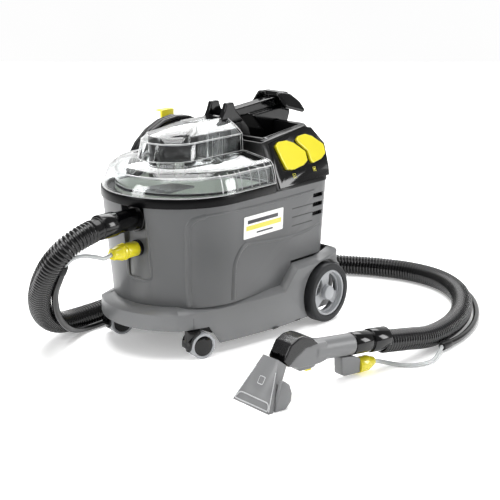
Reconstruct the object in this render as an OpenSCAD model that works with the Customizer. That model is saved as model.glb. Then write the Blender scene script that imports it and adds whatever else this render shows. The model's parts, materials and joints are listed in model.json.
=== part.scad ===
// Spray-extraction carpet cleaner: a wheeled tub with a lift-off waste tank and clear lid,
// a suction and spray hose, a hand tool, and a mains lead coiled on two hooks.
// Millimetres. X runs from the hose end (negative) to the big wheels, Z up, floor at Z = 0.

/* [Body] */
// Half width of the tub at its top edge
tub_half = 142; // [136:1:150]
// Half width of the tub at its foot
tub_foot_half = 134; // [128:1:138]
// Front end of the tub at its top edge
tub_front = 220; // [215:1:230]
// Front end of the tub at its foot
tub_foot_front = 200; // [196:1:204]
// Rear end of the tub at its top edge
tub_rear = 212; // [205:1:220]
// Rear end of the tub at its foot
tub_foot_rear = 196; // [190:1:200]
// Height of the tub's top edge
tub_top = 282; // [276:1:290]
// Thickness of the moulded walls
wall = 3; // [2.5:0.5:4]
// Height of the black rim between tub and lid
rim_h = 18; // [14:1:22]

/* [Skirt] */
// Half width of the skirt beside the wheels
skirt_half = 151; // [150:1:156]
// Top edge of the skirt at the nose
skirt_top = 85; // [82:1:90]
// Top edge of the skirt over the wheels
hump_top = 124; // [122:1:130]
// Lowest edge of the skirt
skirt_low = 20; // [16:1:24]
// Lower edge of the nose
nose_low = 56; // [54:1:60]

/* [Lid] */
// Height of the clear ring above the rim
lid_ring_h = 42; // [36:1:48]
// Half width of the raised dome
dome_half = 62; // [56:1:66]
// Top of the dome at its front
dome_top = 394; // [388:1:400]
// Wall of the clear lid
lid_wall = 3; // [2.5:0.5:4]

/* [Wheels] */
// Radius of a rear wheel
wheel_r = 59; // [50:1:60]
// Width of a rear wheel
wheel_w = 28; // [20:1:30]
// Radius of the axle
axle_r = 6; // [4:0.5:8]
// Radius of a caster wheel
caster_r = 24; // [20:1:24]
// Distance from a caster's stem to its wheel's axis
caster_trail = 15; // [12:1:16]
// Angle that the casters stand at
caster_angle = -17; // [-30:1:0]

/* [Hose] */
// Outer diameter of the suction hose
hose_d = 42; // [38:1:42]
// Diameter of the sheath over the spray line
sheath_d = 13; // [10:1:13]
// Diameter of the clear spray tube
tube_d = 8; // [6:1:8]

/* [Mains lead] */
// Diameter of the mains lead
lead_d = 8; // [6:0.5:8]
// Outer radius of the coiled lead
coil_r = 142; // [130:1:142]
// Thickness of the coil, across and along its axis
coil_t = 26; // [20:1:26]

/* [Hand tool] */
// Half width of the nozzle's lip
lip_half = 47; // [40:1:55]
// Diameter of the grip tube
grip_d = 39; // [36:1:42]

/* [Hidden] */
$fn = 72;
gap = 0.4;             // clearance between neighbouring bodies
run = 0.05;            // radial running clearance of a shaft
skin = 0.1;            // thickness of the slabs that a hull joins
rim_z = tub_top;
lid_z = rim_z + rim_h;
foot_z = 93;           // foot of the tub's leaning wall
wall_lean = atan((tub_half - tub_foot_half) / (tub_top - foot_z));
label_z = 229;
lid_shoulder = lid_z + lid_ring_h;
cover_x = 34;          // plane where the lid meets the rear cover
inlet_y = -18;
inlet_z = 258;
water_z = 203;
recess_x = -203;       // flat face that the hose sockets stand on
recess_low = 148;
recess_half = 25;
socket_end = -189.5;   // inner end of the hose socket, clear of the waste tank
axle_x = 175;
axle_z = wheel_r;
wheel_out = 165;       // outer face of the wheels
well_r = wheel_r + 6;
caster_x = -157;       // caster stems
caster_y = 105.5;
stem_r = 5;
tank_low = 196;        // underside of the waste tank
tank_x = 25;           // rear wall of the waste tank
fresh_half = 118;      // fresh water tank in the tub's foot
fresh_front = 176;
fresh_rear = 70;
fresh_low = 99;
filler_x = 48;
filler_y = 96;
motor_x = 118;
motor_r = 58;
motor_low = 150;
pump_x = 150;
float_x = -92;         // centre of the float tube
float_r = 45;
hook_z = 346;          // pivot of the lead's upper hook
hook_x = 84;           // centre of the lead's coil
coil_z = 246;
coil_y = 156;          // inner face of the coil
tool_o = [-262, -342, 0];
tool_yaw = -10;

// Suction hose, from the machine's cuff down to the floor, round behind the skirt and the
// far wheel, and back to the hand tool's cuff
hose_route = [
    [-296, -18, 257], [-320, -18, 253], [-345, -13, 244], [-364, -3, 230], [-375, 16, 206],
    [-373, 40, 178], [-362, 68, 145], [-343, 96, 111], [-315, 123, 78], [-280, 145, 50],
    [-240, 163, 31], [-200, 175, 23], [-150, 178, 21.5], [-90, 181, 21.5], [-10, 191, 21.5],
    [80, 200, 21.5], [180, 206, 21.5], [270, 194, 21.5], [350, 158, 21.5], [415, 95, 21.5],
    [460, 20, 21.5], [495, -55, 21.5], [512, -130, 21.5], [502, -205, 21.5], [462, -272, 21.5],
    [400, -327, 21.5], [325, -370, 21.5], [245, -395, 21.5], [165, -405, 26], [95, -402, 38],
    [32, -394, 48]];
// Sheath over the spray line, along the hose's inner side, over its top behind the machine
// and along its outer side
sheath_route = [
    [-350.5, 15, 194], [-347.5, 32, 167], [-336.5, 59, 133], [-316.5, 83, 97.5], [-290, 104, 64],
    [-258, 122, 36], [-222, 139, 17], [-180, 152, 7.5], [-120, 154, 7.5], [-50, 158, 7.5],
    [20, 166, 10], [68, 170, 26], [112, 186.5, 47], [160, 208, 51], [205, 225, 44],
    [255, 227, 24], [300, 213, 8], [365, 183, 7.5], [435, 113, 7.5], [486, 30, 7.5],
    [521, -50, 7.5], [540, -130, 7.5], [528, -218, 7.5], [484, -292, 7.5], [418, -350, 7.5],
    [338, -396, 7.5], [252, -423, 7.5], [168, -432, 10]];
// Clear spray tubes at the two ends of the sheath
tube_in_route = [
    [-270, -18, 203], [-288, -18, 200], [-306, -15, 206], [-328, -8, 211], [-345, 0, 208],
    [-350.5, 15, 194]];
tube_out_route = [
    [8, -388, 17], [28, -394, 11], [48, -412, 4.5], [60, -434, 4.5], [84, -449, 4.5],
    [110, -452, 5], [138, -444, 7], [168, -432, 10]];
// Mains lead from its gland to the coil, and its tail from the coil down to the plug
lead_route = [
    [78, 161, 172], [52, 161, 170], [22, 161, 176], [-6, 161, 192], [-28, 161, 218],
    [-37, 161, 246]];
tail_route = [
    [221, 178, 246], [218, 188, 222], [219, 192, 195], [219, 192, 163]];

grey = [0.47, 0.47, 0.48];
dark = [0.13, 0.13, 0.14];
yellow = [0.95, 0.87, 0.15];
clear = [0.85, 0.9, 0.92, 0.4];
pale = [0.75, 0.76, 0.77];
steel = [0.7, 0.7, 0.72];

// ---- helpers ----

// Plan with a round front of radius r ending at x = -front, straight sides and round rear corners
module d_plan(r, front, rear, corner) {
    xc = r - front;
    translate([xc, 0]) circle(r, $fn = 96);
    translate([xc, -r]) square([rear - corner - xc, 2 * r]);
    translate([xc, corner - r]) square([rear - xc, 2 * (r - corner)]);
    for (s = [-1, 1]) translate([rear - corner, s * (r - corner)]) circle(corner, $fn = 48);
}

module slab(z, r, front, rear, corner) {
    translate([0, 0, z]) linear_extrude(skin) d_plan(r, front, rear, corner);
}

// Plate with rounded corners, in plan
module round_rect(w, h, r) {
    square([w - 2 * r, h], center = true);
    square([w, h - 2 * r], center = true);
    for (x = [-1, 1], y = [-1, 1]) translate([x * (w / 2 - r), y * (h / 2 - r)]) circle(r);
}

// Flat outline in X and Z, given a thickness along Y
module side(y0, y1, points) {
    translate([0, y1, 0]) rotate([90, 0, 0]) linear_extrude(y1 - y0) polygon(points);
}

module x_cyl(x0, x1, r) translate([x0, 0, 0]) rotate([0, 90, 0]) cylinder(h = x1 - x0, r = r);
module y_cyl(y0, y1, r) translate([0, y1, 0]) rotate([90, 0, 0]) cylinder(h = y1 - y0, r = r);

module in_tool() translate(tool_o) rotate([0, 0, tool_yaw]) children();

// Half width of the tub over its leaning walls, at height z
function wall_half(z) = tub_foot_half + (tub_half - tub_foot_half) * (z - foot_z) / (tub_top - foot_z);

function unit(v) = v / norm(v);
function heading(p, i) = unit(p[min(i + 1, len(p) - 1)] - p[max(i - 1, 0)]);
// Side vectors carried along the route without twist
function carried(p, i, n) = i == len(p) ? [] :
    let (t = heading(p, i), m = unit(n - (n * t) * t)) concat([m], carried(p, i + 1, m));

// Tube of diameter d swept along the points p
module swept(p, d, sides) {
    n = carried(p, 0, unit(cross(heading(p, 0), [0.1, 0.2, 1])));
    rings = [for (i = [0:len(p) - 1], k = [0:sides - 1])
        let (b = cross(heading(p, i), n[i]), a = 360 * k / sides)
        p[i] + d / 2 * (cos(a) * n[i] + sin(a) * b)];
    walls = [for (i = [0:len(p) - 2], k = [0:sides - 1])
        let (k2 = (k + 1) % sides, a = i * sides, b = a + sides) [a + k, b + k, b + k2, a + k2]];
    start = [for (k = [0:sides - 1]) k];
    end = [for (k = [sides - 1:-1:0]) (len(p) - 1) * sides + k];
    polyhedron(rings, concat([start, end], walls), convexity = 6);
}

// ---- skirt and base ----

arc_r = 150;           // plan radius of the nose
nose_x = 226;
nose_half = 96;
rear_x = 226;          // rear end of the skirt

// Stations round the outside of the skirt, from the rear centre along the near side
function nose_point(a) = [arc_r - nose_x - arc_r * cos(a), -arc_r * sin(a)];
nose_end = asin(nose_half / arc_r);
near_half = concat(
    [for (y = [0:-40:-120]) [rear_x, y]],
    [for (a = [0:15:90]) [rear_x - 20 + 20 * cos(a), -(skirt_half - 20) - 20 * sin(a)]],
    [for (x = [190, 172, 155, 134, 112, 91, 74, 56]) [x, -skirt_half]],
    [[30, -149], [5, -146], [-20, -142.5], [-45, -138.5], [-70, -134], [-95, -129], [-104, -127], [-128, -121.5],
        [-150, -115.5], [-187, -102]],
    [for (a = [nose_end:-nose_end / 8:1]) nose_point(a)]);
skirt_plan = concat(near_half, [nose_point(0)],
    [for (i = [len(near_half) - 1:-1:1]) [near_half[i].x, -near_half[i].y]]);

// Height of the skirt's top edge: low at the nose, stepping up to pass over the wheels
function top_at(x) = x < 56 ? skirt_top + 2 :
    x < 91 ? skirt_top + 2 + (hump_top - skirt_top - 2) * (x - 56) / 35 :
    x < 155 ? hump_top : hump_top + 14 * (x - 155) / 71;
// Height of its lower edge: high at the nose, low between caster and wheel
function low_at(x) = x < -128 ? nose_low : x < -104 ? nose_low - (nose_low - skirt_low) * (x + 128) / 24 : skirt_low;
// Plan direction that points inwards at a station
function inward(i) = let (n = len(skirt_plan), a = skirt_plan[(i + n - 1) % n], b = skirt_plan[(i + 1) % n],
    t = unit([b.x - a.x, b.y - a.y])) [t.y, -t.x];
function inset(i, d, z) = let (q = skirt_plan[i] + d * inward(i)) [q.x, q.y, z];
function ledge(x) = x < -120 ? 24 : x < -60 ? 24 - 9 * (x + 120) / 60 : x < 50 ? 15 : x < 196 ? 17 : 17 + (x - 196) / 3;

module skirt_shell() {
    n = len(skirt_plan);
    loops = [for (i = [0:n - 1]) let (x = skirt_plan[i].x) [
        inset(i, 0, low_at(x)), inset(i, 0, top_at(x) - 2), inset(i, 1.5, top_at(x)),
        inset(i, ledge(x), top_at(x) + 9), inset(i, ledge(x), top_at(x) + 9 - wall),
        inset(i, wall, top_at(x) - wall), inset(i, wall, low_at(x))]];
    m = len(loops[0]);
    points = [for (l = loops, p = l) p];
    faces = [for (i = [0:n - 1], k = [0:m - 1])
        let (j = (i + 1) % n, k2 = (k + 1) % m) [i * m + k, j * m + k, j * m + k2, i * m + k2]];
    polyhedron(points, faces, convexity = 8);
}

module skirt() {
    color(grey) difference() {
        union() {
            skirt_shell();
            for (s = [-1, 1]) translate([axle_x, 0, axle_z]) intersection() {
                y_cyl(min(s * 128, s * 149), max(s * 128, s * 149), well_r + wall);
                translate([-100, -200, skirt_low - axle_z]) cube([100 + rear_x - wall - axle_x, 400, 200]);
            }
        }
        for (s = [-1, 1]) translate([axle_x, 0, axle_z]) {
            y_cyl(min(s * 131, s * 180), max(s * 131, s * 180), well_r);
            y_cyl(min(s * 100, s * 140), max(s * 100, s * 140), axle_r + 1);
        }
        for (s = [-1, 1]) translate([caster_x, s * caster_y, 0]) cylinder(h = 77.5, r = stem_r + 2);
    }
}

plate_z = 36;
plate_t = 5;

module base_plate() {
    color(dark) difference() {
        union() {
            translate([-108, -108, plate_z]) cube([322, 216, plate_t]);
            translate([0, 0, nose_low + 2]) linear_extrude(plate_t) intersection() {
                d_plan(124, 208, 0, 10);
                translate([-230, -140]) square([127, 280]);
            }
            translate([-108, -108, plate_z]) cube([plate_t, 216, nose_low + 2 + plate_t - plate_z]);
            for (s = [-1, 1]) {
                translate([axle_x - 14, s * 100 - 8, plate_z]) cube([28, 16, axle_z + 12 - plate_z]);
                translate([caster_x, s * caster_y, nose_low - 1]) cylinder(h = 22, r = stem_r + 2);
                for (x = [-90, 60]) translate([x, s * 80, plate_z]) cylinder(h = 93 - plate_z, r = 10);
            }
        }
        translate([axle_x, 0, axle_z]) y_cyl(-130, 130, axle_r);
        for (s = [-1, 1]) translate([caster_x, s * caster_y, 0]) cylinder(h = 75, r = stem_r + run);
    }
}

// ---- tub ----

module tub_solid(inner) {
    hull() {
        slab(inner > 0 ? 96 + inner : 93, tub_foot_half - inner, tub_foot_front - inner, tub_foot_rear - inner, 30);
        slab(tub_top - skin + (inner > 0 ? 1 : 0), tub_half - inner, tub_front - inner, tub_rear - inner, 40);
    }
}

module main_housing() {
    color(grey) difference() {
        union() {
            difference() {
                tub_solid(0);
                tub_solid(wall);
            }
            intersection() {
                tub_solid(0);
                union() {
                    translate([recess_x - 40, inlet_y - recess_half - wall, recess_low - wall])
                        cube([40 + wall, 2 * (recess_half + wall), tub_top - recess_low + wall]);
                    translate([step_x, -150, 90]) cube([140, 300, step_z + wall - 90]);
                }
            }
        }
        // hollow under the raised floor, over the wheels
        translate([step_x + wall, -150, 80]) cube([140, 300, step_z - 80]);
        translate([recess_x - 40, inlet_y - recess_half, recess_low]) cube([40, 2 * recess_half, 140]);
        translate([0, inlet_y, inlet_z]) x_cyl(-230, -190, 21);
        translate([0, inlet_y, water_z]) x_cyl(-230, -190, 13);
        for (z = [vent_low:vent_step:vent_low + 2 * vent_step])
            translate([vent_x0, -tub_half - 8, z]) cube([vent_x1 - vent_x0, 20, 8]);
        translate([60, 120, 163]) cube([36, 40, 18]);
    }
}

step_x = 84;           // where the tub's floor steps up over the axle
step_z = 138;
vent_x0 = 148;
vent_x1 = 178;
vent_low = 216;
vent_step = 18;

module vent_insert() {
    y = 6.97 - wall_half(vent_low + vent_step);
    color(dark) difference() {
        translate([vent_x0 - 6, y, vent_low - 8]) cube([vent_x1 - vent_x0 + 12, 4, 60]);
        for (k = [0:2], j = [0:4])
            translate([vent_x0 + 2 + 5.5 * j, y - 1, vent_low + k * vent_step + 1]) cube([3.5, 6, 6]);
    }
}

module label_plate() {
    color("white") translate([2, -wall_half(label_z), label_z]) rotate([90 + wall_lean, 0, 0])
        linear_extrude(1) round_rect(111, 42, 2);
}

module rim_gasket() {
    color(dark) translate([0, 0, rim_z]) difference() {
        linear_extrude(rim_h - gap) d_plan(tub_half + 3, tub_front + 3, cover_x - gap + 40, 2);
        translate([0, 0, -1]) linear_extrude(rim_h + 2) d_plan(tub_half - 12.5, tub_front - 28, cover_x + 60, 2);
        translate([0, 0, rim_h - 5.2]) linear_extrude(rim_h) d_plan(tub_half - 9, tub_front - 9, cover_x + 60, 2);
        translate([cover_x - gap, -200, -1]) cube([200, 400, rim_h + 2]);
    }
}

// ---- rear cover with handle ----

cover_top = 386;
cover_mid = 350;       // height where the cover's rear starts to lean forward
hollow_half = 84;      // hand hollow under the handle
hollow_x0 = 65;
hollow_x1 = 174;
hollow_z = 345;
tongue_half = 30;      // bridge to the front clip
tongue_x0 = cover_x;
tongue_top = 396;
panel_x = 50;
panel_tilt = 68;
panel_t = 3;

module cover_solid(d) {
    hull() {
        translate([0, 0, rim_z - (d > 0 ? 1 : 0)]) linear_extrude(skin)
            d_plan(tub_half + 1 - d, 60, tub_rear + 2 - d, 40);
        translate([0, 0, cover_mid]) linear_extrude(skin)
            d_plan(tub_half - 26 - d, 60, tub_rear + 6 - d, 36);
        translate([0, 0, cover_top - skin - d]) linear_extrude(skin)
            d_plan(tub_half - 41 - d, 60, tub_rear - 22 - d, 30);
    }
}

module behind_lid(x) translate([x, -200, 200]) cube([300, 400, 300]);

module motor_cover() {
    color(dark) difference() {
        union() {
            intersection() {
                difference() {
                    cover_solid(0);
                    cover_solid(wall);
                }
                behind_lid(cover_x);
            }
            intersection() {
                cover_solid(0);
                union() {
                    translate([cover_x, -150, rim_z]) cube([wall, 300, 120]);
                    translate([hollow_x0 - 6, -hollow_half - wall, hollow_z - wall])
                        cube([hollow_x1 - hollow_x0 + 6 + wall, 2 * (hollow_half + wall), 60]);
                    panel_frame() translate([-wall, -4, -panel_t - 9]) cube([170, 116, panel_t + 9]);
                }
            }
            translate([tongue_x0, -tongue_half, 360])
                cube([hollow_x0 - tongue_x0, 2 * tongue_half, tongue_top - 360]);
            translate([hook_x, 0, hook_z]) y_cyl(100, coil_y - 6, 15);
        }
        translate([hollow_x0, -hollow_half, hollow_z]) cube([hollow_x1 - hollow_x0, 2 * hollow_half, 60]);
        // top edge slopes down towards the lid, on both sides of the bridge
        for (s = [-1, 1]) scale([1, s, 1])
            side(tongue_half, 200, [[0, 367], [cover_x, 371], [hollow_x1, cover_top + 0.1], [hollow_x1, 450], [0, 450]]);
        translate([tongue_x0 + wall, wall - tongue_half, 350])
            cube([hollow_x0 - tongue_x0 - 2 * wall, 2 * (tongue_half - wall), tongue_top - wall - 350]);
        panel_frame() translate([0, 0, -panel_t]) linear_extrude(40) panel_plan();
        for (k = [0, 1]) panel_frame() translate([0, 0, -panel_t - 5]) linear_extrude(20) offset(delta = 1)
            switch_plan(k);
        translate([hook_x, 0, hook_z]) y_cyl(90, 160, 5 + run);
    }
}

// Frame of the switch panel: origin at its lower front corner, X to the rear, Y up the slope, Z outwards
module panel_frame() translate([panel_x, -tub_half + 1.5, rim_z + 4]) rotate([panel_tilt, 0, 0]) children();
module panel_plan() polygon([[0, 0], [150, 3], [156, 20], [163, 66], [137, 102], [114, 106], [0, 88]]);

module switch_panel() {
    color([0.06, 0.06, 0.06]) difference() {
        panel_frame() translate([0, 0, -panel_t]) linear_extrude(panel_t) offset(delta = -0.3) panel_plan();
        for (k = [0, 1]) panel_frame() translate([0, 0, -10]) linear_extrude(30) offset(delta = 1) switch_plan(k);
    }
}

module switch_plan(k) offset(r = 5) offset(delta = -5) polygon(k == 0
    ? [[17, 80], [30, 87], [52, 86], [70, 79], [96, 58], [95, 40], [80, 33], [50, 29], [30, 32], [24, 50]]
    : [[78, 83], [90, 90], [110, 91], [128, 84], [155, 64], [153, 46], [136, 37], [110, 33], [104, 38], [103, 58]]);

module paddle(k) {
    color(yellow) panel_frame() translate([0, 0, 0.2 - panel_t]) linear_extrude(panel_t + 3.8) switch_plan(k);
}
module spray_switch() paddle(0);
module suction_switch() paddle(1);

bar_half = 11;
module carry_handle() {
    color(dark) {
        side(-bar_half, bar_half, [[40, tongue_top], [62, tongue_top], [70, 402], [110, 405], [204, 412], [206, 432],
            [190, 430], [66, 420], [52, 412]]);
        side(-20, 20, [[108, 404.9], [204, 411.9], [224, 398], [217, 380], [202, 373], [190, cover_top],
            [hollow_x1 - 2, cover_top],
            [hollow_x1 - 2, hollow_z], [150, hollow_z], [140, 372]]);
    }
}

module front_clip() {
    color(dark) for (s = [-1, 1]) scale([1, s, 1])
        side(14, 24, [[12, 402], [cover_x, 402], [cover_x, tongue_top + 0.6], [72, tongue_top + 0.6], [78, 400],
            [56, 422], [50, 437], [31, 437], [24, 420]]);
}

module rear_saddle() {
    color(dark) for (s = [-1, 1]) scale([1, s, 1]) hull() {
        for (p = [[182, 24, 436], [184, 40, 416], [208, 30, 431], [225, 38, 416], [232, 44, 402],
            [216, 24, 420]]) translate(p) sphere(r = 5, $fn = 16);
    }
    color(dark) side(-26, 26, [[190, 430], [206, 432], [204, 412], [214, 400], [226, 416], [208, 440], [192, 440]]);
}

module lead_hook() {
    color(yellow) translate([hook_x, 0, hook_z]) {
        y_cyl(112, 150, 5);
        y_cyl(150.4, coil_y + coil_t + 2, 13);
        side(coil_y + coil_t + 2, coil_y + coil_t + 8, [[-17, -14], [17, -14], [17, 50], [-17, 50]]);
        side(coil_y + coil_t + 2, coil_y + coil_t + 20, [[-17, 48], [17, 48], [17, 51], [-17, 51]]);
    }
}

module lower_hook() {
    color(dark) {
        side(wall_half(133) - 1.7, coil_y + coil_t + 2, [[68, 133], [100, 133], [100, 146], [68, 146]]);
        side(coil_y + coil_t + 2, coil_y + coil_t + 7, [[68, 96], [100, 96], [100, 146], [68, 146]]);
    }
}

// ---- what is inside ----

module fresh_plan(d) intersection() {
    d_plan(fresh_half - d, fresh_front - d, 200, 10);
    translate([-300, -200]) square([300 + fresh_rear - d, 400]);
}

module fresh_tank() color([0.9, 0.92, 0.9]) difference() {
    union() {
        translate([0, 0, fresh_low]) linear_extrude(tank_low - 8 - fresh_low) fresh_plan(0);
        translate([filler_x, filler_y, tank_low - 9]) cylinder(h = 60, r = 18);
    }
    translate([0, 0, fresh_low + wall]) linear_extrude(tank_low - 8 - fresh_low - 2 * wall) fresh_plan(wall);
    translate([filler_x, filler_y, tank_low - 16]) cylinder(h = 80, r = 15);
    translate([0, 0, 116]) x_cyl(fresh_rear - 6, fresh_rear + 4, 4);
}

module pump() color([0.25, 0.25, 0.27]) {
    translate([pump_x, -48, 168]) x_cyl(-34, 20, 20);
    translate([pump_x - 46, -66, 150]) cube([12, 36, 36]);
    translate([pump_x - 40, -66, 141.2]) cube([56, 36, 9]);
}

module pump_line() color(pale) {
    swept([[66, 0, 116], [74, -3, 118], [78, -14, 134], [84, -34, 152], [118, -48, 166]], 7, 8);
    swept([[128, -40, 184], [118, -38, 191.8], [70, -24, 191.8], [0, -18, 191.8], [-120, -18, 191.8],
        [-178, -18, 191.8], [-193, -18, 192.6]], 7, 8);
}

module suction_motor() color([0.3, 0.3, 0.32]) translate([motor_x, 20, 0]) difference() {
    union() {
        translate([0, 0, step_z + wall]) cylinder(h = 49, r = 34);
        translate([0, 0, 190]) cylinder(h = 90, r = 42);
        translate([0, 0, 280]) cylinder(h = 40, r = motor_r);
    }
    translate([0, 0, 284]) cylinder(h = 32, r = motor_r - 3);
    translate([0, 0, 300]) cylinder(h = 30, r = 20);
    translate([0, 0, 200]) cylinder(h = 90, r = 5 + run);
}

module fan_rotor() color("silver") translate([motor_x, 20, 0]) {
    translate([0, 0, 206]) cylinder(h = 82, r = 5);
    translate([0, 0, 288]) cylinder(h = 3, r = 50);
    for (a = [0:45:315]) rotate([0, 0, a]) translate([14, -1, 290.9]) cube([34, 2, 16]);
}

module inlet_socket() color(dark) translate([0, inlet_y, inlet_z]) difference() {
    union() {
        x_cyl(recess_x - 9, recess_x, 23.8);
        x_cyl(recess_x - 9, socket_end, 20.6);
    }
    x_cyl(-240, -170, 17);
}

module water_socket() color(dark) translate([0, inlet_y, water_z]) difference() {
    union() {
        x_cyl(recess_x - 8, recess_x, 15);
        x_cyl(recess_x - 8, -190, 12.6);
    }
    x_cyl(-240, -199, 7);
}

// ---- waste tank and lid ----

module tank_plan(d) intersection() {
    d_plan(tub_half - 14 - d, tub_front - 32 - d, 200, 10);
    translate([-300, -200]) square([300 + tank_x - d, 400]);
}

module waste_tank() color([0.86, 0.88, 0.86]) difference() {
    union() {
        translate([0, 0, tank_low]) linear_extrude(lid_z - tank_low - 1) tank_plan(0);
        translate([0, 0, lid_z - 5]) linear_extrude(4) tank_plan(-3);
    }
    translate([0, 0, tank_low + 2.5]) linear_extrude(lid_z) tank_plan(2.5);
    translate([0, inlet_y, inlet_z]) x_cyl(-200, -150, 17);
}

module inlet_duct() color(grey) {
    translate([0, inlet_y, 0]) difference() {
        union() {
            translate([-176, -20, 236]) cube([40, 40, 60]);
            translate([-176, -20, 296]) cube([100, 60, 4]);
            translate([0, 0, inlet_z]) x_cyl(-184, -176, 17);
        }
        translate([0, 0, inlet_z]) x_cyl(-190, -150, 14.5);
        translate([-162, -17, 239]) cube([23, 34, 54]);
        translate([-160, -17, 239]) cube([18, 34, 70]);
    }
}

module lid_solid(d) {
    hull() {
        translate([0, 0, lid_z - (d > 0 ? 1 : 0)]) linear_extrude(skin) d_plan(tub_half + 1 - d, tub_front - 1 - d, 120, 2);
        translate([0, 0, lid_z + 14]) linear_extrude(skin) d_plan(tub_half - 1 - d, tub_front - 4 - d, 120, 2);
        translate([0, 0, lid_shoulder - 8 - d]) linear_extrude(skin) d_plan(tub_half - 6 - d, tub_front - 16 - d, 120, 2);
        translate([0, 0, lid_shoulder - d]) linear_extrude(skin) d_plan(tub_half - 14 - d, tub_front - 30 - d, 120, 2);
        translate([0, 0, lid_shoulder + 10 - d]) linear_extrude(skin) d_plan(dome_half + 8 - d, 165 - d, 120, 2);
    }
    hull() {
        translate([0, 0, lid_shoulder - 4]) linear_extrude(skin) d_plan(dome_half - d, 163 - d, 120, 2);
        translate([0, 0, dome_top - 10 - d]) linear_extrude(skin) d_plan(dome_half - 3 - d, 150 - d, 120, 2);
        translate([0, 0, dome_top - d]) linear_extrude(skin) d_plan(dome_half - 14 - d, 140 - d, 120, 2);
        translate([0, 0, dome_top + 16 - d]) linear_extrude(skin) d_plan(dome_half - 42 - d, 64 - d, 120, 2);
    }
}

module tank_lid() color(clear) difference() {
    lid_solid(0);
    difference() {
        lid_solid(lid_wall);
        behind_lid(cover_x - gap - lid_wall);
        // rib that carries the seal
        translate([0, 0, lid_z + 4]) linear_extrude(24) difference() {
            tank_plan(-2);
            tank_plan(0);
        }
    }
    behind_lid(cover_x - gap);
}

module lid_seal() color(dark) translate([0, 0, lid_z]) intersection() {
    difference() {
        linear_extrude(4) tank_plan(-3);
        translate([0, 0, -1]) linear_extrude(8) tank_plan(1);
    }
    translate([-300, -200, -1]) cube([300 + tank_x, 400, 10]);
}

module float_cage() color([0.2, 0.2, 0.22]) intersection() {
    lid_solid(lid_wall);
    float_tube();
}

module float_tube() translate([float_x, 0, 0]) difference() {
    translate([0, 0, 316]) cylinder(h = 100, r = float_r);
    translate([0, 0, 319]) cylinder(h = 120, r = float_r - 2.5);
    for (a = [0:60:300]) rotate([0, 0, a]) translate([20, -9, 324]) cube([40, 18, 22]);
}

module float_ball() color("white") translate([float_x, 0, 319.4]) cylinder(h = 18, r = 30);

// ---- wheels ----

module wheel_rim(s) color(pale) translate([axle_x, 0, axle_z]) scale([1, s, 1]) difference() {
    union() {
        y_cyl(wheel_out - wheel_w + 2, wheel_out - 2, 45.5);
        y_cyl(wheel_out - wheel_w, wheel_out - wheel_w + 4, 16);
    }
    y_cyl(wheel_out - 12, wheel_out, 41);
    y_cyl(wheel_out - wheel_w - 1, wheel_out - 17, 41);
    y_cyl(wheel_out - wheel_w - 1, wheel_out, axle_r + run);
    for (a = [90:120:330]) rotate([0, a, 0]) translate([0, wheel_out + 1, 0]) rotate([90, 0, 0])
        linear_extrude(wheel_w) intersection() {
            difference() {
                circle(37);
                circle(16);
            }
            polygon([[9, 0], [60, 62], [60, -62]]);
        }
}

module hub(s) color(pale) translate([axle_x, 0, axle_z]) scale([1, s, 1]) {
    difference() {
        y_cyl(wheel_out - 12, wheel_out - 1, 14);
        y_cyl(wheel_out - 20, wheel_out - 5, axle_r + run + 0.3);
    }
}

module tyre(s) color([0.27, 0.27, 0.28]) translate([axle_x, 0, axle_z]) scale([1, s, 1]) rotate([-90, 0, 0])
    translate([0, 0, wheel_out - wheel_w]) rotate_extrude($fn = 96)
        polygon([[45.5, 0], [56, 0], [wheel_r, 3], [wheel_r, wheel_w - 3], [56, wheel_w], [45.5, wheel_w]]);

module near_rim() wheel_rim(-1);
module near_tyre() tyre(-1);
module near_cap() hub(-1);
module far_rim() wheel_rim(1);
module far_tyre() tyre(1);
module far_cap() hub(1);

module axle() color(steel) translate([axle_x, 0, axle_z]) y_cyl(-wheel_out + 8, wheel_out - 8, axle_r);

// ---- casters ----

module at_caster(s) translate([caster_x, s * caster_y, 0]) rotate([0, 0, caster_angle]) children();

module caster_fork(s) color([0.1, 0.1, 0.1]) at_caster(s) {
    translate([0, 0, nose_low - 6]) cylinder(h = 24, r = stem_r);
    difference() {
        union() {
            translate([0, 0, 30]) cylinder(h = nose_low - 32, r = 14);
            translate([-12, -4, 14]) cube([caster_trail + 12, 8, nose_low - 20]);
            intersection() {
                translate([caster_trail, 0, caster_r]) difference() {
                    y_cyl(-15, 15, caster_r + 5);
                    y_cyl(-16, 16, caster_r + 2);
                }
                translate([-20, -16, 20]) cube([30, 32, 40]);
            }
            hull() {
                translate([caster_trail, 0, caster_r]) y_cyl(-4, 4, 10);
                translate([0, -4, 30]) cube([4, 8, nose_low - 34]);
            }
        }
        translate([caster_trail, 0, caster_r]) y_cyl(-10, 10, 3 + run);
        translate([caster_trail, 0, caster_r]) for (t = [-1, 1]) y_cyl(min(t * 4, t * 20), max(t * 4, t * 20), caster_r + 1.5);
    }
}

module caster_wheels(s) color(pale) at_caster(s) translate([caster_trail, 0, caster_r]) {
    y_cyl(-10, 10, 3);
    for (t = [-1, 1]) scale([1, t, 1]) difference() {
        y_cyl(4.5, 16, caster_r);
        y_cyl(12.5, 17, caster_r - 5);
    }
}

module near_caster_fork() caster_fork(-1);
module near_caster_wheels() caster_wheels(-1);
module far_caster_fork() caster_fork(1);
module far_caster_wheels() caster_wheels(1);

// ---- mains lead ----

module cable_gland() color(dark) {
    translate([78, 161, 172]) x_cyl(0, 22, 6.5);
    translate([80, 137, 163.2]) cube([15.8, 31, 17.6]);
}

module mains_lead() color(dark) swept(lead_route, lead_d, 8);
module lead_tail() color(dark) swept(tail_route, lead_d, 8);

module lead_coil() color(dark) translate([hook_x, coil_y, coil_z]) rotate([-90, 0, 0])
    rotate_extrude($fn = 64) translate([coil_r - coil_t, 0]) square([coil_t, coil_t]);

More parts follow.
